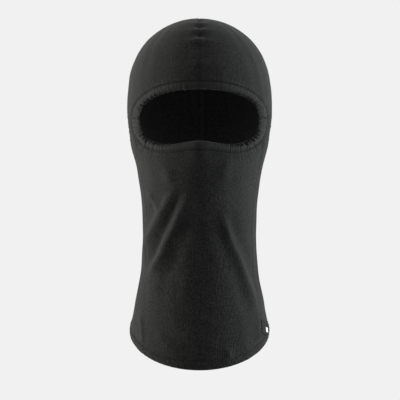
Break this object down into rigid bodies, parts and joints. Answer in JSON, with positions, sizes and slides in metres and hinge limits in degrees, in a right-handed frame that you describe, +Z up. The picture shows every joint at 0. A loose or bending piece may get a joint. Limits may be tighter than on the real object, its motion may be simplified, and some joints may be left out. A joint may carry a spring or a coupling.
{
  "type": "balaclava",
  "caption": "Pull-on knit ski hood covering head, face and neck, with one wide eye opening in a gathered elastic rim and a rounded bib below the chin.",
  "frame": {"origin": "middle of the wearer's head at eye level, between the temples", "axes": "+Z up through the crown, -Y the way the face looks, +X to the wearer's left"},
  "size_m": [0.157, 0.2109, 0.3762],
  "materials": {
    "knit_fleece": "matte brushed knit",
    "binding_knit": "smooth rib knit, satin",
    "black_thread": "polyester thread, slight sheen",
    "black_elastic": "knitted elastic",
    "label_weave": "damask woven label, satin",
    "care_satin": "printed satin ribbon"
  },
  "bodies": {
    "root": {"front_panel": "knit_fleece", "left_panel": "knit_fleece", "right_panel": "knit_fleece", "hem_facing": "knit_fleece", "brow_binding": "binding_knit", "face_elastic": "black_elastic", "brow_binding_stitching": "black_thread", "crown_seam_overlock": "black_thread", "left_side_seam_overlock": "black_thread", "right_side_seam_overlock": "black_thread", "hem_needle_stitching": "black_thread", "hem_looper_stitching": "black_thread", "left_corner_tack": "black_thread", "right_corner_tack": "black_thread", "side_label_tack": "black_thread", "side_label_tail": "label_weave", "care_label_tail": "care_satin"},
    "lower_edge": {"lower_face_binding": "binding_knit", "lower_binding_stitching": "black_thread"},
    "side_flag": {"side_label": "label_weave"},
    "care_flag": {"care_label": "care_satin"}
  },
  "joints": [
    {"name": "lower_edge_pull", "type": "slide", "parent": "root", "child": "lower_edge", "axis": [0, 0.15, -0.9887], "range_m": [0, 0.05], "deforming": ["front_panel", "face_elastic", "lower_face_binding", "lower_binding_stitching"]},
    {"name": "side_label_fold", "type": "hinge", "parent": "root", "child": "side_flag", "pos_m": [0.066, -0.04845, -0.2322], "axis": [0.073, -0.2854, -0.9556], "range_deg": [0, 150]},
    {"name": "care_label_fold", "type": "hinge", "parent": "root", "child": "care_flag", "pos_m": [0.0526, -0.0346, -0.179], "axis": [0, 0, 1], "range_deg": [0, 140]}
  ]
}
